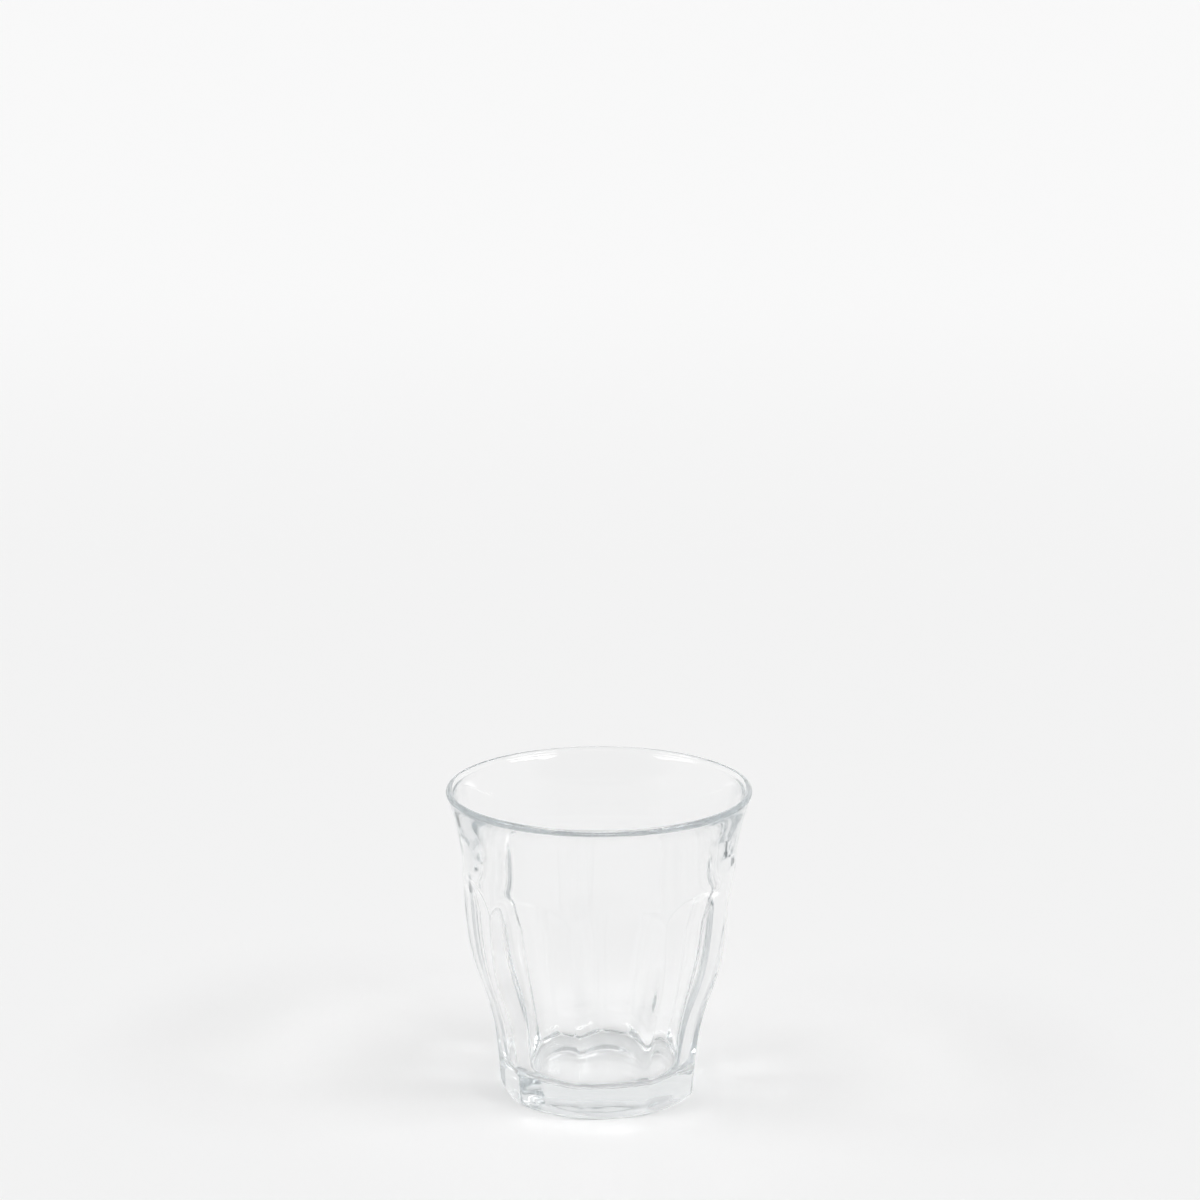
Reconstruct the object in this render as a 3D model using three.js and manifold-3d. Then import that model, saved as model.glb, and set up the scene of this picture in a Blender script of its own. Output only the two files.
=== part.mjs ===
// A pressed drinking glass with nine flat panels, a round flared collar and a heavy foot.
// Millimetres, +Z up. The origin is the middle of the foot, on the surface the glass stands on.
//
// The real glass is one moulding. Here it is built whole and then sliced on level planes into
// its four regions (foot, panelled body, flared collar, rim), which meet face to face.

import * as THREE from 'three';
import { mergeVertices } from 'three/addons/utils/BufferGeometryUtils.js';
import Module from 'manifold-3d';

// Outside of the glass, measured on the ridges between the panels.
const HEIGHT = 88.6;
const RIM_RADIUS = 43;
const NECK_RADIUS = 38.6;
const COLLAR_HEIGHT = 22.6;
const FOOT_RADIUS = 28.3;
const FOOT_EDGE_RADIUS = 2;

// Pull of the S-shaped body curve at each end: how far it runs on before it swings, and its lean.
const FOOT_PULL = 38.3;
const FOOT_LEAN = 2.5;
const NECK_PULL = 41.5;
const NECK_LEAN = 0.6;

// Pull of the collar's flare at the neck and under the rim.
const FLARE_PULL = 7;
const FLARE_LEAN = 0.1;
const LIP_PULL = 6;
const LIP_LEAN = 1.86;

// The rim: a thin rounded lip whose bead stands out a little past the collar's line.
const RIM_WALL = 1.8;
const LIP_RISE = 0.85;
const LIP_ROUNDNESS = 0.44;
const BEAD_DROP = 1.46;
const BEAD_STAND = 0.05;
const INSIDE_BEAD_DROP = 1;
const INSIDE_BEAD_STAND = 0.06;
const BEAD_FILLET = 0.6;
const BEAD_ROUNDNESS = 0.6;

// Flat panels, cut into the round body up to a scooped arch under the collar.
const PANEL_COUNT = 9;
const RIDGE_BREAK = 0.22;
const SCOOP_DROP = 9.5;
const SCOOP_RADIUS = 25;
const SCOOP_SWEEP = THREE.MathUtils.degToRad(50);

// Inside of the glass, which is round all the way down.
const FLOOR_THICKNESS = 7.6;
const FLOOR_CORNER_RADIUS = 4.6;
const FOOT_WALL = 4.8;
const NECK_WALL = 4;
const INSIDE_FOOT_PULL = 25;
const INSIDE_FOOT_LEAN = 2.9;
const INSIDE_NECK_PULL = 36;
const INSIDE_FLARE_PULL = 7;
const INSIDE_FLARE_LEAN = 0.3;
const INSIDE_LIP_PULL = 2.5;
const INSIDE_LIP_LEAN = 1.48;

// Shallow hollow under the foot, which leaves a level ring to stand on.
const UNDERSIDE_RADIUS = 18;
const UNDERSIDE_DEPTH = 0.8;

// Height of the slice that is called the rim.
const RIM_HEIGHT = 5;

// Facets: eight round segments for each panel, so that a vertex lies on every ridge.
const ROUND_SEGMENTS = PANEL_COUNT * 8;
const BODY_STEPS = 12;
const COLLAR_STEPS = 6;
const BEAD_STEPS = 3;
const LIP_STEPS = 3;
const CORNER_STEPS = 4;
const SCOOP_STEPS = 10;

// Room past the glass for tools that have to cut all the way through.
const CUT_MARGIN = 5;

const wasm = await Module();
wasm.setup();

const panelAngle = (2 * Math.PI) / PANEL_COUNT;
const neckHeight = HEIGHT - COLLAR_HEIGHT;
const wallFootHeight = FLOOR_THICKNESS + FLOOR_CORNER_RADIUS;

const point = (radius, height) => new THREE.Vector2(radius, height);

// Ridge line of the body, from the foot's rounded edge up to the neck.
const ridgeCurve = new THREE.CubicBezierCurve(
  point(FOOT_RADIUS, FOOT_EDGE_RADIUS),
  point(FOOT_RADIUS + FOOT_LEAN, FOOT_EDGE_RADIUS + FOOT_PULL),
  point(NECK_RADIUS - NECK_LEAN, neckHeight - NECK_PULL),
  point(NECK_RADIUS, neckHeight),
);

// Radius of the ridge line at a height, found by halving the curve's parameter range.
function ridgeRadiusAt(height) {
  let low = 0;
  let high = 1;
  for (let i = 0; i < 40; i += 1) {
    const middle = (low + high) / 2;
    if (ridgeCurve.getPoint(middle).y < height) {
      low = middle;
    } else {
      high = middle;
    }
  }
  return ridgeCurve.getPoint(low).x;
}

// The lip's widest points and its top, and where the bead runs out into each side of the wall.
const lipHeight = HEIGHT - LIP_RISE;
const lipOutside = point(RIM_RADIUS, lipHeight);
const lipTop = point(RIM_RADIUS - RIM_WALL / 2, HEIGHT);
const lipInside = point(RIM_RADIUS - RIM_WALL, lipHeight);
const outsideSlope = LIP_LEAN / LIP_PULL;
const insideSlope = INSIDE_LIP_LEAN / INSIDE_LIP_PULL;
const beadFoot = point(RIM_RADIUS - BEAD_STAND - BEAD_DROP * outsideSlope, lipHeight - BEAD_DROP);
const insideBeadFoot = point(
  lipInside.x + INSIDE_BEAD_STAND - INSIDE_BEAD_DROP * insideSlope,
  lipHeight - INSIDE_BEAD_DROP,
);

// Flare of the collar, from the neck up to the foot of the rim's bead.
const collarCurve = new THREE.CubicBezierCurve(
  point(NECK_RADIUS, neckHeight),
  point(NECK_RADIUS + FLARE_LEAN, neckHeight + FLARE_PULL),
  point(beadFoot.x - LIP_LEAN, beadFoot.y - LIP_PULL),
  beadFoot,
);

// One side of the bead, from its foot on the wall up to the lip's widest point.
function beadCurve(foot, slope, top) {
  const drop = top.y - foot.y;
  return new THREE.CubicBezierCurve(
    foot,
    point(foot.x + drop * BEAD_FILLET * slope, foot.y + drop * BEAD_FILLET),
    point(top.x, top.y - drop * BEAD_ROUNDNESS),
    top,
  );
}

// A quarter of the lip's round, from one of its widest points up to its top.
function lipCurve(side) {
  return new THREE.CubicBezierCurve(
    side,
    point(side.x, side.y + LIP_RISE * LIP_ROUNDNESS),
    point(THREE.MathUtils.lerp(lipTop.x, side.x, LIP_ROUNDNESS), HEIGHT),
    lipTop,
  );
}

// Inside wall, from the top of the floor's rounded corner up to the neck, then up to the rim.
const insideFoot = point(ridgeRadiusAt(wallFootHeight) - FOOT_WALL, wallFootHeight);
const insideNeck = point(NECK_RADIUS - NECK_WALL, neckHeight);
const insideWallCurve = new THREE.CubicBezierCurve(
  insideFoot,
  point(insideFoot.x + INSIDE_FOOT_LEAN, insideFoot.y + INSIDE_FOOT_PULL),
  point(insideNeck.x - NECK_LEAN, insideNeck.y - INSIDE_NECK_PULL),
  insideNeck,
);
const insideCollarCurve = new THREE.CubicBezierCurve(
  insideNeck,
  point(insideNeck.x + INSIDE_FLARE_LEAN, insideNeck.y + INSIDE_FLARE_PULL),
  point(insideBeadFoot.x - INSIDE_LIP_LEAN, insideBeadFoot.y - INSIDE_LIP_PULL),
  insideBeadFoot,
);

// Points along a circular arc, both ends included.
function arcPoints(centre, radius, from, to, steps) {
  const points = [];
  for (let i = 0; i <= steps; i += 1) {
    const angle = THREE.MathUtils.lerp(from, to, i / steps);
    points.push(point(centre.x + radius * Math.cos(angle), centre.y + radius * Math.sin(angle)));
  }
  return points;
}

// A closed mesh as a solid, with its doubled seam vertices joined first.
function solidFrom(geometry) {
  geometry.deleteAttribute('normal');
  geometry.deleteAttribute('uv');
  const merged = mergeVertices(geometry, 1e-4);
  const mesh = new wasm.Mesh({
    numProp: 3,
    vertProperties: new Float32Array(merged.attributes.position.array),
    triVerts: new Uint32Array(merged.index.array),
  });
  mesh.merge();
  return new wasm.Manifold(mesh);
}

// A profile of radius and height turned about the axis, with a facet edge on every ridge.
function turnedSolid(profile) {
  const geometry = new THREE.LatheGeometry(profile, ROUND_SEGMENTS);
  geometry.rotateX(Math.PI / 2);
  geometry.rotateZ(panelAngle / 2);
  return solidFrom(geometry);
}

// The round blank before its panels are cut: foot edge, body, collar and the outer half of the lip.
function roundBlank() {
  const footEdge = point(FOOT_RADIUS - FOOT_EDGE_RADIUS, FOOT_EDGE_RADIUS);
  return turnedSolid([
    point(0, 0),
    ...arcPoints(footEdge, FOOT_EDGE_RADIUS, -Math.PI / 2, 0, CORNER_STEPS),
    ...ridgeCurve.getPoints(BODY_STEPS).slice(1),
    ...collarCurve.getPoints(COLLAR_STEPS).slice(1),
    ...beadCurve(beadFoot, outsideSlope, lipOutside).getPoints(BEAD_STEPS).slice(1),
    ...lipCurve(lipOutside).getPoints(LIP_STEPS).slice(1),
    point(0, HEIGHT),
  ]);
}

// What a panel's tool removes: everything outside the flat face and the scoop above it.
function panelTool() {
  const flatness = Math.cos(panelAngle / 2);
  const scoopStart = neckHeight - SCOOP_DROP;
  const face = ridgeCurve
    .getPoints(BODY_STEPS)
    .filter((ridge) => ridge.y < scoopStart)
    .map((ridge) => point(ridge.x * flatness + RIDGE_BREAK, ridge.y));
  const start = point(ridgeRadiusAt(scoopStart) * flatness + RIDGE_BREAK, scoopStart);
  const last = face[face.length - 1];
  const lean = Math.atan2(start.x - last.x, start.y - last.y);
  const scoopCentre = point(
    start.x + SCOOP_RADIUS * Math.cos(lean),
    start.y - SCOOP_RADIUS * Math.sin(lean),
  );
  const scoop = arcPoints(scoopCentre, SCOOP_RADIUS, Math.PI - lean, Math.PI - SCOOP_SWEEP, SCOOP_STEPS);
  const scoopEnd = scoop[scoop.length - 1];
  const clear = Math.max(RIM_RADIUS, scoopEnd.x) + CUT_MARGIN;
  const outline = new THREE.Shape([
    point(face[0].x, -CUT_MARGIN),
    ...face,
    ...scoop,
    point(clear, scoopEnd.y),
    point(clear, -CUT_MARGIN),
  ]);
  const width = 2 * clear * Math.tan(panelAngle / 2);
  const geometry = new THREE.ExtrudeGeometry(outline, { depth: width, bevelEnabled: false });
  geometry.translate(0, 0, -width / 2);
  geometry.rotateX(Math.PI / 2);
  return geometry;
}

// The hollow: level floor, rounded corner, smooth wall, flared collar and the inner half of the lip.
function insideSolid() {
  const wallStart = insideWallCurve.getTangent(0);
  const wallLean = wallStart.x / wallStart.y;
  const cornerPoint = point(insideFoot.x - FLOOR_CORNER_RADIUS * wallLean, FLOOR_THICKNESS);
  const floorEdge = point(cornerPoint.x - FLOOR_CORNER_RADIUS, FLOOR_THICKNESS);
  const corner = new THREE.QuadraticBezierCurve(floorEdge, cornerPoint, insideFoot);
  return turnedSolid([
    point(0, FLOOR_THICKNESS),
    ...corner.getPoints(CORNER_STEPS),
    ...insideWallCurve.getPoints(BODY_STEPS).slice(1),
    ...insideCollarCurve.getPoints(COLLAR_STEPS).slice(1),
    ...beadCurve(insideBeadFoot, insideSlope, lipInside).getPoints(BEAD_STEPS).slice(1),
    ...lipCurve(lipInside).getPoints(LIP_STEPS).slice(1),
    point(lipTop.x, HEIGHT + CUT_MARGIN),
    point(0, HEIGHT + CUT_MARGIN),
  ]);
}

// The shallow dished hollow under the foot, a cap of a large sphere.
function undersideSolid() {
  const sphereRadius = (UNDERSIDE_RADIUS ** 2 + UNDERSIDE_DEPTH ** 2) / (2 * UNDERSIDE_DEPTH);
  const centre = point(0, UNDERSIDE_DEPTH - sphereRadius);
  const edge = Math.asin((sphereRadius - UNDERSIDE_DEPTH) / sphereRadius);
  return turnedSolid([
    point(0, -CUT_MARGIN),
    point(UNDERSIDE_RADIUS, -CUT_MARGIN),
    ...arcPoints(centre, sphereRadius, edge, Math.PI / 2, CORNER_STEPS).slice(0, -1),
    point(0, UNDERSIDE_DEPTH),
  ]);
}

// The whole glass in one piece.
function wholeGlass() {
  let glass = roundBlank();
  for (let k = 0; k < PANEL_COUNT; k += 1) {
    const tool = panelTool();
    tool.rotateZ(k * panelAngle);
    glass = glass.subtract(solidFrom(tool));
  }
  return glass.subtract(insideSolid()).subtract(undersideSolid());
}

// The part of a solid that lies between two level planes.
function slice(solid, low, high) {
  const reach = 2 * (RIM_RADIUS + CUT_MARGIN);
  const slab = new THREE.BoxGeometry(reach, reach, high - low);
  slab.translate(0, 0, (low + high) / 2);
  return solid.intersect(solidFrom(slab));
}

// A named mesh of clear, faintly blue-grey glass.
function glassMesh(name, solid) {
  const result = solid.getMesh();
  const geometry = new THREE.BufferGeometry();
  geometry.setAttribute('position', new THREE.BufferAttribute(result.vertProperties, 3));
  geometry.setIndex(new THREE.BufferAttribute(result.triVerts, 1));
  geometry.computeVertexNormals();
  const material = new THREE.MeshStandardMaterial({
    color: 0xe4ecee,
    roughness: 0.04,
    metalness: 0,
    transparent: true,
    opacity: 0.35,
  });
  const mesh = new THREE.Mesh(geometry, material);
  mesh.name = name;
  return mesh;
}

const glass = wholeGlass();
const rimBase = HEIGHT - RIM_HEIGHT;

const part = new THREE.Group();
part.name = 'drinking_glass';
part.add(
  glassMesh('foot', slice(glass, -CUT_MARGIN, wallFootHeight)),
  glassMesh('panelled_body', slice(glass, wallFootHeight, neckHeight)),
  glassMesh('flared_collar', slice(glass, neckHeight, rimBase)),
  glassMesh('rim', slice(glass, rimBase, HEIGHT + CUT_MARGIN)),
);

export default part;
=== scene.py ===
# %% [markdown]
# # A panelled drinking glass
#
# This lesson dresses one object: a clear pressed-glass tumbler with nine flat panels, a round
# flared collar and a heavy foot. The solids that come with it hold its sizes. Here they are
# replaced by one seamless shell of glass, fine enough for light to bend through it properly.

# %% Load the solids and keep their box
import math

import bpy
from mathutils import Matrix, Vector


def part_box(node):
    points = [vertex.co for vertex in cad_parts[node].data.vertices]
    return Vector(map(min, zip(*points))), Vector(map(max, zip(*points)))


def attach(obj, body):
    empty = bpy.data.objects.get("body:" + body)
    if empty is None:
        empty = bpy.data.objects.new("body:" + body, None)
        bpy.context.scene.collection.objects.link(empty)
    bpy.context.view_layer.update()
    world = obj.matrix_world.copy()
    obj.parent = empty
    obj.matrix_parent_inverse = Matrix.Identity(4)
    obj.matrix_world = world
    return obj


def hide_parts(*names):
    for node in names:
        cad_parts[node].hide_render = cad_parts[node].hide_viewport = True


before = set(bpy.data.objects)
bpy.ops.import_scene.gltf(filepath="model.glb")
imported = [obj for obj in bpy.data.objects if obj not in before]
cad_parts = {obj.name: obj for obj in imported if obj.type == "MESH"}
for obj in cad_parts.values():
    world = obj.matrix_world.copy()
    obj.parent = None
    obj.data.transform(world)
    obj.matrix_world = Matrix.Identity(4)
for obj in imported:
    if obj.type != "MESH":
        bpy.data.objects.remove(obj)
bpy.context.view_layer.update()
MM = 0.001

print("solids:", sorted(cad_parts))

# %% [markdown]
# ## The camera
#
# The photograph looks down at the glass from a little above, through a long lens, with the glass
# standing in the lower half of the picture. The camera is placed by its distance from the axis of
# the glass, its height above the table and its tilt, so each number can be read as a real size.
# The glass has nine sides, so the camera also stands a degree and a half round from square on.

# %% Place the camera
CAMERA_DISTANCE = 810.6 * MM
CAMERA_HEIGHT = 324.5 * MM
CAMERA_TILT = math.radians(12.67)
CAMERA_TURN = math.radians(1.5)
CAMERA_SIDESTEP = 0.26 * MM
LENS_MM = 90.0
SENSOR_MM = 36.0


def add_object(name, data):
    """Puts a camera, a mesh or a lamp into the scene as a new object."""
    made = bpy.data.objects.new(name, data)
    bpy.context.scene.collection.objects.link(made)
    return made


camera_data = bpy.data.cameras.new("camera")
camera_data.lens = LENS_MM
camera_data.sensor_width = SENSOR_MM
camera = add_object("camera", camera_data)
camera.location = (
    CAMERA_DISTANCE * math.sin(CAMERA_TURN) + CAMERA_SIDESTEP * math.cos(CAMERA_TURN),
    -CAMERA_DISTANCE * math.cos(CAMERA_TURN) + CAMERA_SIDESTEP * math.sin(CAMERA_TURN),
    CAMERA_HEIGHT,
)
camera.rotation_euler = (math.pi / 2 - CAMERA_TILT, 0.0, CAMERA_TURN)
bpy.context.scene.camera = camera
print("camera at", [round(value, 3) for value in camera.location])

# %% [markdown]
# ## The outline of the glass
#
# A glass like this is pressed: a gob of molten glass is dropped into a mould and a round plunger
# is pushed in. The plunger leaves a round inside, and the mould gives the panels on the outside.
# So the shape starts as one outline of radius and height, from the middle of the underside, round
# the foot, up the ridge between two panels, over the rim and down the inside to the middle of the
# floor. The heights and outer radii come from the solids. The rest are the sizes that shape the
# curves.

# %% Sizes of the outline
_, rim_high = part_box("rim")
body_low, body_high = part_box("panelled_body")

HEIGHT = rim_high.z
RIM_RADIUS = rim_high.x
NECK_HEIGHT = body_high.z
NECK_RADIUS = body_high.x
FLOOR_CORNER_TOP = body_low.z

FOOT_RADIUS = 28.3 * MM
FOOT_EDGE_RADIUS = 2.0 * MM
FOOT_PULL = 38.3 * MM
FOOT_LEAN = 2.5 * MM
NECK_PULL = 41.5 * MM
NECK_LEAN = 0.6 * MM
FLARE_PULL = 7.0 * MM
FLARE_LEAN = 0.1 * MM
LIP_PULL = 6.0 * MM
LIP_LEAN = 1.86 * MM

RIM_WALL = 1.8 * MM
LIP_RISE = 0.85 * MM
LIP_ROUNDNESS = 0.44
BEAD_DROP = 1.46 * MM
BEAD_STAND = 0.05 * MM
INSIDE_BEAD_DROP = 1.0 * MM
INSIDE_BEAD_STAND = 0.06 * MM
BEAD_FILLET = 0.6
BEAD_ROUNDNESS = 0.6

FLOOR_CORNER_RADIUS = 4.6 * MM
FOOT_WALL = 4.8 * MM
NECK_WALL = 4.0 * MM
INSIDE_FOOT_PULL = 25.0 * MM
INSIDE_FOOT_LEAN = 2.9 * MM
INSIDE_NECK_PULL = 36.0 * MM
INSIDE_FLARE_PULL = 7.0 * MM
INSIDE_FLARE_LEAN = 0.3 * MM
INSIDE_LIP_PULL = 2.5 * MM
INSIDE_LIP_LEAN = 1.48 * MM

UNDERSIDE_RADIUS = 18.0 * MM
UNDERSIDE_DEPTH = 0.8 * MM

FLOOR_HEIGHT = FLOOR_CORNER_TOP - FLOOR_CORNER_RADIUS
LIP_HEIGHT = HEIGHT - LIP_RISE
print("height %.1f mm, rim %.1f mm across" % (HEIGHT / MM, 2 * RIM_RADIUS / MM))

# %% [markdown]
# Every stretch of the outline is a curve pulled by handles, because that is how the eye reads a
# pressed glass: it leaves the foot in one direction, reaches the neck in another, and bends evenly
# in between. The ridge and the round collar make the outside.


# %% Curves of the outside
def bezier(handles, t):
    """The point at t on a curve with any number of handles, found by repeated blending."""
    points = list(handles)
    while len(points) > 1:
        pairs = zip(points, points[1:])
        points = [tuple((1 - t) * a + t * b for a, b in zip(*pair)) for pair in pairs]
    return points[0]


def curve_at_height(handles, height):
    """The radius of a rising curve at a height, found by halving."""
    low, high = 0.0, 1.0
    for _ in range(40):
        middle = (low + high) / 2
        if bezier(handles, middle)[1] < height:
            low = middle
        else:
            high = middle
    return bezier(handles, low)[0]


outside_slope = LIP_LEAN / LIP_PULL
bead_foot = (RIM_RADIUS - BEAD_STAND - BEAD_DROP * outside_slope, LIP_HEIGHT - BEAD_DROP)
RIDGE = (
    (FOOT_RADIUS, FOOT_EDGE_RADIUS),
    (FOOT_RADIUS + FOOT_LEAN, FOOT_EDGE_RADIUS + FOOT_PULL),
    (NECK_RADIUS - NECK_LEAN, NECK_HEIGHT - NECK_PULL),
    (NECK_RADIUS, NECK_HEIGHT),
)
COLLAR = (
    (NECK_RADIUS, NECK_HEIGHT),
    (NECK_RADIUS + FLARE_LEAN, NECK_HEIGHT + FLARE_PULL),
    (bead_foot[0] - LIP_LEAN, bead_foot[1] - LIP_PULL),
    bead_foot,
)
print("ridge radius at half height %.1f mm" % (curve_at_height(RIDGE, HEIGHT / 2) / MM))

# %% [markdown]
# The rim is melted round after pressing, which gathers a slight bead on both of its sides. Below
# the bead, the inside follows its own curves, so the wall can be thin at the rim and thick at the
# foot.


# %% Curves of the rim and the inside
def bead(foot, slope, top):
    """One side of the rim's bead, from its foot on the wall up to the lip's widest point."""
    drop = top[1] - foot[1]
    return (
        foot,
        (foot[0] + drop * BEAD_FILLET * slope, foot[1] + drop * BEAD_FILLET),
        (top[0], top[1] - drop * BEAD_ROUNDNESS),
        top,
    )


def lip_quarter(side, top):
    """A quarter of the lip's round, from one of its widest points up to its top."""
    middle = top[0] + (side[0] - top[0]) * LIP_ROUNDNESS
    return (side, (side[0], side[1] + LIP_RISE * LIP_ROUNDNESS), (middle, HEIGHT), top)


lip_outside = (RIM_RADIUS, LIP_HEIGHT)
lip_top = (RIM_RADIUS - RIM_WALL / 2, HEIGHT)
lip_inside = (RIM_RADIUS - RIM_WALL, LIP_HEIGHT)
inside_slope = INSIDE_LIP_LEAN / INSIDE_LIP_PULL
inside_bead_foot = (
    lip_inside[0] + INSIDE_BEAD_STAND - INSIDE_BEAD_DROP * inside_slope,
    LIP_HEIGHT - INSIDE_BEAD_DROP,
)
inside_neck = (NECK_RADIUS - NECK_WALL, NECK_HEIGHT)
inside_foot = (curve_at_height(RIDGE, FLOOR_CORNER_TOP) - FOOT_WALL, FLOOR_CORNER_TOP)
INSIDE_COLLAR = (
    inside_bead_foot,
    (inside_bead_foot[0] - INSIDE_LIP_LEAN, inside_bead_foot[1] - INSIDE_LIP_PULL),
    (inside_neck[0] + INSIDE_FLARE_LEAN, inside_neck[1] + INSIDE_FLARE_PULL),
    inside_neck,
)
INSIDE_WALL = (
    inside_neck,
    (inside_neck[0] - NECK_LEAN, inside_neck[1] - INSIDE_NECK_PULL),
    (inside_foot[0] + INSIDE_FOOT_LEAN, inside_foot[1] + INSIDE_FOOT_PULL),
    inside_foot,
)
wall_lean = INSIDE_FOOT_LEAN / INSIDE_FOOT_PULL
corner = (inside_foot[0] - FLOOR_CORNER_RADIUS * wall_lean, FLOOR_HEIGHT)
FLOOR_CORNER = (inside_foot, corner, (corner[0] - FLOOR_CORNER_RADIUS, FLOOR_HEIGHT))
print("inside radius at the floor's corner %.1f mm" % (inside_foot[0] / MM))

# %% [markdown]
# ## How deep a panel lies at each height
#
# A flat panel whose edges land on the ridge line lies closer to the axis than the ridge by the
# cosine of half a panel's angle. A little is left standing so that the ridges come out blunt, as
# fire-polished glass does. Above the body the panel sweeps out in a scoop of one radius, and where
# that scoop runs out through the round collar it draws the arch at the top of each panel.

# %% Depth of the panels
PANELS = 9
HALF_PANEL = math.pi / PANELS
RIDGE_BREAK = 0.22 * MM
SCOOP_DROP = 9.5 * MM
SCOOP_RADIUS = 25.0 * MM
SCOOP_START = NECK_HEIGHT - SCOOP_DROP
LEAN_STEP = 1.0 * MM


def panel_depth(height):
    """Distance from the axis to the middle of a flat panel at a height."""
    if height <= SCOOP_START:
        ridge = curve_at_height(RIDGE, max(height, FOOT_EDGE_RADIUS))
        return ridge * math.cos(HALF_PANEL) + RIDGE_BREAK
    start = panel_depth(SCOOP_START)
    lean = math.atan2(start - panel_depth(SCOOP_START - LEAN_STEP), LEAN_STEP)
    centre = (
        start + SCOOP_RADIUS * math.cos(lean),
        SCOOP_START - SCOOP_RADIUS * math.sin(lean),
    )
    rise = min(height - centre[1], SCOOP_RADIUS)
    return centre[0] - math.sqrt(SCOOP_RADIUS**2 - rise**2)


for level in (5, 30, 54, 60, 65):
    print("panel at %d mm lies %.2f mm from the axis" % (level, panel_depth(level * MM) / MM))

# %% [markdown]
# ## The outline as points
#
# The rows of the finished mesh are the points of this outline, so they are placed closely where
# the surface turns quickly: at the foot's edge, at the arches and over the rim.

# %% Draw the outline
DISH_ROWS, RING_ROWS, EDGE_ROWS = 10, 5, 12
BODY_ROWS, ARCH_ROWS, COLLAR_ROWS = 44, 52, 26
BEAD_ROWS, LIP_ROWS, INSIDE_BEAD_ROWS = 12, 12, 8
INSIDE_COLLAR_ROWS, WALL_ROWS, CORNER_ROWS, FLOOR_ROWS = 22, 34, 14, 10
ARCH_MARGIN = 1.0 * MM


def spread(low, high, count):
    """Evenly spaced values after the low one, the high one included."""
    return [low + (high - low) * k / count for k in range(1, count + 1)]


def curve_points(handles, count):
    """Points after the start of a curve, its end included."""
    return [bezier(handles, t) for t in spread(0.0, 1.0, count)]


def arc_points(centre, radius, start, end, count):
    """Points after the start of a circular arc, its end included."""
    angles = spread(start, end, count)
    return [(centre[0] + radius * math.cos(a), centre[1] + radius * math.sin(a)) for a in angles]


def ridge_points(low, high, count):
    """Points of the ridge after the low height, the high one included."""
    return [(curve_at_height(RIDGE, z), z) for z in spread(low, high, count)]


dish_radius = (UNDERSIDE_RADIUS**2 + UNDERSIDE_DEPTH**2) / (2 * UNDERSIDE_DEPTH)
dish_centre = (0.0, UNDERSIDE_DEPTH - dish_radius)
dish_edge = math.asin((dish_radius - UNDERSIDE_DEPTH) / dish_radius)
foot_edge = (FOOT_RADIUS - FOOT_EDGE_RADIUS, FOOT_EDGE_RADIUS)
arch_start = SCOOP_START - ARCH_MARGIN

underside = [(0.0, UNDERSIDE_DEPTH)]
underside += arc_points(dish_centre, dish_radius, math.pi / 2, dish_edge, DISH_ROWS)
underside += [(radius, 0.0) for radius in spread(UNDERSIDE_RADIUS, foot_edge[0], RING_ROWS)]
outside = arc_points(foot_edge, FOOT_EDGE_RADIUS, -math.pi / 2, 0.0, EDGE_ROWS)
outside += ridge_points(FOOT_EDGE_RADIUS, arch_start, BODY_ROWS)
outside += ridge_points(arch_start, NECK_HEIGHT, ARCH_ROWS)
outside += curve_points(COLLAR, COLLAR_ROWS)
outside += curve_points(bead(bead_foot, outside_slope, lip_outside), BEAD_ROWS)
inside = curve_points(lip_quarter(lip_outside, lip_top), LIP_ROWS)
inside += curve_points(lip_quarter(lip_inside, lip_top)[::-1], LIP_ROWS)
inside += curve_points(bead(inside_bead_foot, inside_slope, lip_inside)[::-1], INSIDE_BEAD_ROWS)
inside += curve_points(INSIDE_COLLAR, INSIDE_COLLAR_ROWS)
inside += curve_points(INSIDE_WALL, WALL_ROWS)
inside += curve_points(FLOOR_CORNER, CORNER_ROWS)
inside += [(radius, FLOOR_HEIGHT) for radius in spread(FLOOR_CORNER[-1][0], 0.0, FLOOR_ROWS)]
outline = underside + outside + inside
print("outline of", len(outline), "points")

# %% [markdown]
# Each point also carries how deep the panel lies at its height. Points that no panel may touch,
# under the foot, on the rim and on the inside, get a depth so large that none ever reaches them.

# %% Keep the outline as a mesh with its depths
NO_PANEL = 1.0
PANEL_MARGIN = 2.0 * MM

highest_panel = NECK_HEIGHT + PANEL_MARGIN
depths = [NO_PANEL] * len(underside)
depths += [panel_depth(z) if z < highest_panel else NO_PANEL for _, z in outside]
depths += [NO_PANEL] * len(inside)

outline_mesh = bpy.data.meshes.new("glass")
outline_mesh.from_pydata(
    [(r, 0.0, z) for r, z in outline],
    [(k, k + 1) for k in range(len(outline) - 1)],
    [],
)
depth_layer = outline_mesh.attributes.new("panel_depth", "FLOAT", "POINT")
depth_layer.data.foreach_set("value", depths)
glass = add_object("glass", outline_mesh)
print("points under a panel:", sum(depth < NO_PANEL for depth in depths))

# %% [markdown]
# ## Writing node maths as plain expressions
#
# Both the shape and the materials below are node trees. Linking them by hand hides the formula, so
# this small class wraps a socket: adding or multiplying wraps writes the Math node, and one method
# adds any other node.


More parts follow.
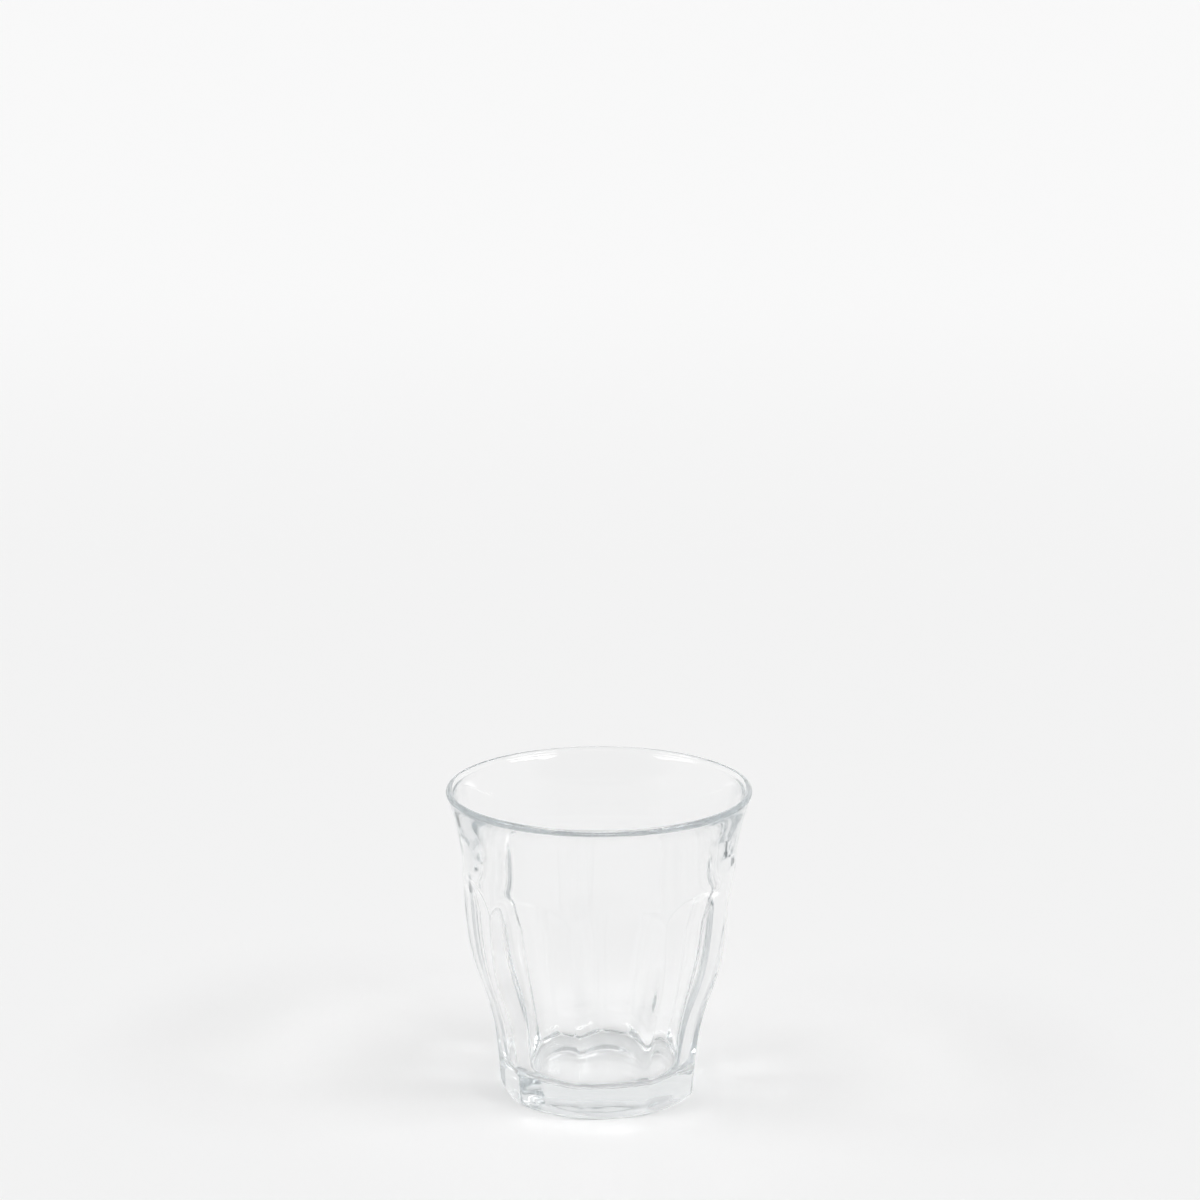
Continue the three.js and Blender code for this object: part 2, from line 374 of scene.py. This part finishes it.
# %% A socket that can be calculated with
class Wire:
    """A node tree's socket, with Python's operators standing for Math nodes."""

    def __init__(self, tree, socket=None):
        self.tree = tree
        self.socket = socket

    def node(self, kind, settings=None, inputs=None, output=0):
        """Adds a node: its settings first, then values or wires for its sockets."""
        made = self.tree.nodes.new(kind)
        for name, value in (settings or {}).items():
            setattr(made, name, value)
        for key, value in (inputs or {}).items():
            if isinstance(value, Wire):
                self.tree.links.new(value.socket, made.inputs[key])
            else:
                made.inputs[key].default_value = value
        return Wire(self.tree, made.outputs[output] if made.outputs else None)

    def math(self, operation, *values):
        """Adds a Math node."""
        return self.node("ShaderNodeMath", {"operation": operation}, dict(enumerate(values)))

    def part(self, name):
        """One of the three numbers of a vector: X, Y or Z."""
        return self.node("ShaderNodeSeparateXYZ", inputs={"Vector": self}, output=name)

    def fade(self, start, end):
        """Rises smoothly from 0 where this wire has the start value to 1 at the end value."""
        return self.node(
            "ShaderNodeMapRange",
            {"interpolation_type": "SMOOTHSTEP"},
            {"Value": self, "From Min": start, "From Max": end},
        )

    def __add__(self, other):
        return self.math("ADD", self, other)

    def __radd__(self, other):
        return self.math("ADD", other, self)

    def __sub__(self, other):
        return self.math("SUBTRACT", self, other)

    def __rsub__(self, other):
        return self.math("SUBTRACT", other, self)

    def __mul__(self, other):
        return self.math("MULTIPLY", self, other)

    def __rmul__(self, other):
        return self.math("MULTIPLY", other, self)

    def __truediv__(self, other):
        return self.math("DIVIDE", self, other)

    def __rtruediv__(self, other):
        return self.math("DIVIDE", other, self)


print("Wire:", Wire.__doc__)

# %% [markdown]
# ## Clear glass
#
# Clear glass is almost nothing but its surface: it bends light by its index and lets it through.
# A thick pressed glass is never quite colourless, so a faint absorption inside it turns long
# paths, such as those along the rim, a cool grey. Its surface is fire-polished: very glossy, with
# patches that are a touch softer than the rest.

# %% Make the glass material
GLASS_INDEX = 1.52
ABSORPTION_COLOUR = (0.67, 0.71, 0.725, 1.0)
ABSORPTION_DENSITY = 10.0
POLISH_SIZE = 9.0 * MM
GLOSSIEST = 0.002
SOFTER_BY = 0.008
WHITE = (1.0, 1.0, 1.0, 1.0)


def empty_tree(owner):
    """Gives a material or a world an empty node tree, wrapped to be calculated with."""
    owner.use_nodes = True
    owner.node_tree.nodes.clear()
    return Wire(owner.node_tree)


glass_material = bpy.data.materials.new("clear_glass")
glass_paint = empty_tree(glass_material)
glass_place = glass_paint.node("ShaderNodeTexCoord", output="Object")
worn = glass_paint.node(
    "ShaderNodeTexNoise",
    inputs={"Vector": glass_place, "Scale": 1.0 / POLISH_SIZE, "Detail": 1.0},
)
glass_shader = glass_paint.node(
    "ShaderNodeBsdfPrincipled",
    inputs={
        "Base Color": WHITE,
        "Roughness": GLOSSIEST + SOFTER_BY * worn,
        "IOR": GLASS_INDEX,
        "Transmission Weight": 1.0,
    },
)
glass_depth = glass_paint.node(
    "ShaderNodeVolumeAbsorption",
    inputs={"Color": ABSORPTION_COLOUR, "Density": ABSORPTION_DENSITY},
)
glass_paint.node(
    "ShaderNodeOutputMaterial",
    inputs={"Surface": glass_shader, "Volume": glass_depth},
)
print("glass of index", GLASS_INDEX)

# %% [markdown]
# ## Turning and pressing the outline
#
# The shape follows a rule, so it is made with Geometry Nodes. A flat grid is wrapped round the
# axis: one direction of the grid runs along the outline and the other runs round it. First the
# tree is opened, with the numbers that steer it as its inputs, and each point of the grid learns
# its row and its column.

# %% Open the tree and lay the grid
COLUMNS = PANELS * 40
RIDGE_SOFTNESS = 0.62 * MM
RIDGE_GATHER = 0.085

press_tree = bpy.data.node_groups.new("turn_and_press", "GeometryNodeTree")
interface = press_tree.interface
interface.new_socket("Outline", in_out="INPUT", socket_type="NodeSocketGeometry")
press_inputs = {
    "Panels": ("NodeSocketFloat", float(PANELS)),
    "Columns": ("NodeSocketInt", COLUMNS),
    "Ridge Softness": ("NodeSocketFloat", RIDGE_SOFTNESS),
    "Ridge Gather": ("NodeSocketFloat", RIDGE_GATHER),
    "Glass": ("NodeSocketMaterial", glass_material),
}
for name, (kind, _) in press_inputs.items():
    interface.new_socket(name, in_out="INPUT", socket_type=kind)
interface.new_socket("Glass Shell", in_out="OUTPUT", socket_type="NodeSocketGeometry")

press = Wire(press_tree)
entry = press_tree.nodes.new("NodeGroupInput")
given = {socket.name: Wire(press_tree, socket) for socket in entry.outputs if socket.name}

rows = press.node("GeometryNodeAttributeDomainSize", inputs={"Geometry": given["Outline"]})
columns = given["Columns"] + 1.0
grid = press.node(
    "GeometryNodeMeshGrid",
    inputs={"Size X": 1.0, "Size Y": 1.0, "Vertices X": rows, "Vertices Y": columns},
)
index = press.node("GeometryNodeInputIndex")
row = press.math("FLOOR", (index + 0.5) / columns)
column = index - row * columns
print("grid of %d by %d points" % (len(outline), COLUMNS + 1))

# %% [markdown]
# The row tells which point of the outline to read, and the column tells the angle. The columns are
# drawn together at the ridges, where the surface turns, and spread out over the flat panels, where
# it does not. Where a point lies further out than the flat panel, it is pressed back onto it, and
# a soft minimum rounds the ridge between two panels.

# %% Turn and press the grid
WELD = 0.001 * MM
FULL_TURN = 2 * math.pi

outline_place = press.node("GeometryNodeInputPosition")
outline_depth = press.node(
    "GeometryNodeInputNamedAttribute",
    {"data_type": "FLOAT"},
    {"Name": "panel_depth"},
)
spot = press.node(
    "GeometryNodeSampleIndex",
    {"data_type": "FLOAT_VECTOR"},
    {"Geometry": given["Outline"], "Value": outline_place, "Index": row},
)
depth = press.node(
    "GeometryNodeSampleIndex",
    {"data_type": "FLOAT"},
    {"Geometry": given["Outline"], "Value": outline_depth, "Index": row},
)

even_angle = column * FULL_TURN / given["Columns"]
angle = even_angle + given["Ridge Gather"] * press.math("SINE", even_angle * given["Panels"])
panel_angle = FULL_TURN / given["Panels"]
from_panel = angle - panel_angle * press.math("ROUND", angle / panel_angle)
panel_limit = depth / press.math("COSINE", from_panel)
pressed = press.math("SMOOTH_MIN", spot.part("X"), panel_limit, given["Ridge Softness"])
wrapped = press.node(
    "ShaderNodeCombineXYZ",
    inputs={
        "X": pressed * press.math("COSINE", angle),
        "Y": pressed * press.math("SINE", angle),
        "Z": spot.part("Z"),
    },
)
shell = press.node("GeometryNodeSetPosition", inputs={"Geometry": grid, "Position": wrapped})
for kind, inputs in (
    ("GeometryNodeMergeByDistance", {"Distance": WELD}),
    ("GeometryNodeSetShadeSmooth", {"Shade Smooth": True}),
    ("GeometryNodeRealizeInstances", {}),
    ("GeometryNodeSetMaterial", {"Material": given["Glass"]}),
):
    shell = press.node(kind, inputs={"Geometry": shell, **inputs})
press.node("NodeGroupOutput", inputs={"Glass Shell": shell})
print("tree of", len(press_tree.nodes), "nodes")

# %% [markdown]
# The tree is run once and its result is kept as a plain mesh that needs no modifier. Light can
# only bend the right way if the faces of a closed shell point outwards, and the volume that the
# shell
# encloses tells: it comes out negative when they point inwards.

# %% Press the glass and keep the result as a plain mesh
modifier = glass.modifiers.new("turn_and_press", "NODES")
modifier.node_group = press_tree
for item in interface.items_tree:
    if item.in_out == "INPUT" and item.name in press_inputs:
        modifier[item.identifier] = press_inputs[item.name][1]

depsgraph = bpy.context.evaluated_depsgraph_get()
pressed_mesh = bpy.data.meshes.new_from_object(glass.evaluated_get(depsgraph))
glass.modifiers.remove(modifier)
glass.data = pressed_mesh
pressed_mesh.name = "glass"


def enclosed_volume(mesh):
    """Volume inside a closed mesh; negative when its faces point inwards."""
    mesh.calc_loop_triangles()
    places = [vertex.co for vertex in mesh.vertices]
    total = 0.0
    for triangle in mesh.loop_triangles:
        a, b, c = (places[k] for k in triangle.vertices)
        total += a.dot(b.cross(c)) / 6
    return total


if enclosed_volume(pressed_mesh) < 0:
    pressed_mesh.flip_normals()
glass_ml = enclosed_volume(pressed_mesh) / MM**3 / 1000
print("shell of %d triangles, %.1f ml of glass" % (len(pressed_mesh.loop_triangles), glass_ml))

# %% [markdown]
# ## The glass stands for all four solids
#
# The solids are four slices of one moulding. The seamless shell replaces them all and rides on the
# part's only body.

# %% Put the shell in place of the solids
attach(glass, "root")
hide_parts("foot", "panelled_body", "flared_collar", "rim")
print("glass replaces", len(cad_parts), "solids")

# %% [markdown]
# ## Floor
#
# The glass stands on a plain pale surface that runs on out of sight. Its colour is painted a touch
# lighter
# towards the back: a painted fall-off of the light, as a lit studio sweep shows it. It lies a hair
# below the standing ring, so that the two surfaces never share a plane.

# %% Lay the floor
FLOOR_SIZE = 60.0
FLOOR_GAP = 0.05 * MM
FLOOR_NEAR = (0.884, 0.884, 0.884, 1.0)
FLOOR_FAR = (0.934, 0.934, 0.934, 1.0)
FLOOR_ROUGHNESS = 0.9
PALER_FROM = 0.45
PALER_UP_TO = 2.0
MIX_FACTOR, MIX_FIRST, MIX_SECOND, MIX_RESULT = 0, 6, 7, 2

floor_material = bpy.data.materials.new("pale_floor")
floor_paint = empty_tree(floor_material)
floor_place = floor_paint.node("ShaderNodeTexCoord", output="Object")
# Painted light: the floor's colour grows lighter towards the back, standing in for the light's
# fall-off.
painted_back_light = floor_place.part("Y").fade(PALER_FROM, PALER_UP_TO)
floor_colour = floor_paint.node(
    "ShaderNodeMix",
    {"data_type": "RGBA"},
    {MIX_FACTOR: painted_back_light, MIX_FIRST: FLOOR_NEAR, MIX_SECOND: FLOOR_FAR},
    output=MIX_RESULT,
)
floor_shader = floor_paint.node(
    "ShaderNodeBsdfPrincipled",
    inputs={
        "Base Color": floor_colour,
        "Roughness": FLOOR_ROUGHNESS,
        "Specular IOR Level": 0.0,
    },
)
floor_paint.node("ShaderNodeOutputMaterial", inputs={"Surface": floor_shader})

half = FLOOR_SIZE / 2
floor_corners = [(-half, -half), (half, -half), (half, half), (-half, half)]
floor_mesh = bpy.data.meshes.new("floor")
floor_mesh.from_pydata([(x, y, -FLOOR_GAP) for x, y in floor_corners], [], [(0, 1, 2, 3)])
floor_mesh.materials.append(floor_material)
floor = add_object("floor", floor_mesh)
print("floor of %.0f m" % FLOOR_SIZE)

# %% [markdown]
# ## Light
#
# Glass shows nothing but what stands around it, so the room matters as much as the lamps. The room
# is bright at the back and sides and dimmer behind the camera and overhead, which draws the grey
# lines of the glass. Two round windows low at the back, half sunk behind the floor, are mirrored
# inside the collar.

# %% Light the room
BACK_WALL = 0.94
CAMERA_SIDE = 0.6
CEILING = 0.5
DIM_FROM, DIM_UP_TO = -0.30, -0.75
OVERHEAD_FROM, OVERHEAD_UP_TO = 0.55, 0.85
WINDOW_ELEVATION = math.radians(-5.0)
WINDOW_CORE = math.radians(10.0)
WINDOW_EDGE = math.radians(15.0)
RIGHT_WINDOW = {"azimuth": math.radians(40.0), "strength": 1.6}
LEFT_WINDOW = {"azimuth": math.radians(140.0), "strength": 0.65}

world = bpy.data.worlds.new("studio")
bpy.context.scene.world = world
sky = empty_tree(world)
direction = sky.node("ShaderNodeTexCoord", output="Generated")


def window(azimuth, strength):
    """A bright round patch low on the wall, with a soft edge."""
    level = math.cos(WINDOW_ELEVATION)
    middle = (
        math.cos(azimuth) * level,
        math.sin(azimuth) * level,
        math.sin(WINDOW_ELEVATION),
    )
    nearness = sky.node(
        "ShaderNodeVectorMath",
        {"operation": "DOT_PRODUCT"},
        {0: direction, 1: middle},
        output="Value",
    )
    return strength * nearness.fade(math.cos(WINDOW_EDGE), math.cos(WINDOW_CORE))


dim = direction.part("Y").fade(DIM_FROM, DIM_UP_TO)
overhead = direction.part("Z").fade(OVERHEAD_FROM, OVERHEAD_UP_TO)
walls = BACK_WALL - (BACK_WALL - CAMERA_SIDE) * dim
room_light = walls * (1.0 - overhead) + CEILING * overhead
room_light = room_light + window(**RIGHT_WINDOW) + window(**LEFT_WINDOW)
room = sky.node("ShaderNodeBackground", inputs={"Color": WHITE, "Strength": room_light})
sky.node("ShaderNodeOutputWorld", inputs={"Surface": room})
print("room of", len(world.node_tree.nodes), "nodes")

# %% [markdown]
# Two level rows of soft lamps, one at each side and a little in front, leave the narrow white
# highlights under the far rim and the faint shadows on the floor. The right row is the stronger.
#
# Light that gets into a thick wall can be turned back and forth many times before it finds a way
# out, so many bounces are allowed. Light that has passed through the glass is kept as sharp as it
# is, which lets it reach the floor and keeps the shadow faint.

# %% Hang the lamps
LAMP_WIDTH = math.radians(16.0)
LAMP_STEP = math.radians(14.0)
LAMP_ELEVATION = math.radians(42.0)
LAMPS_IN_ROW = 3
RIGHT_ROW = {"name": "right_lamp", "azimuth": math.radians(-23.0), "strength": 0.95}
LEFT_ROW = {"name": "left_lamp", "azimuth": math.radians(194.0), "strength": 0.65}
LIGHT_BOUNCES = 64


def lamp_row(name, azimuth, strength):
    """A level row of soft, distant lamps about an azimuth, sharing one strength."""
    for k in range(LAMPS_IN_ROW):
        data = bpy.data.lights.new(name, "SUN")
        data.energy = strength / LAMPS_IN_ROW
        data.angle = LAMP_WIDTH
        turn = azimuth + LAMP_STEP * (k - (LAMPS_IN_ROW - 1) / 2)
        lamp = add_object(name, data)
        lamp.rotation_euler = (0.0, math.pi / 2 - LAMP_ELEVATION, turn)


lamp_row(**RIGHT_ROW)
lamp_row(**LEFT_ROW)
cycles = bpy.context.scene.cycles
cycles.max_bounces = LIGHT_BOUNCES
cycles.glossy_bounces = LIGHT_BOUNCES
cycles.transmission_bounces = LIGHT_BOUNCES
cycles.blur_glossy = 0.0
print("lamps:", len(bpy.data.lights))

# %% [markdown]
# ## Finish
#
# The picture is shown with the plain Standard transform, so a colour comes out as it was written.

# %% Finish
bpy.context.scene.view_settings.view_transform = "Standard"
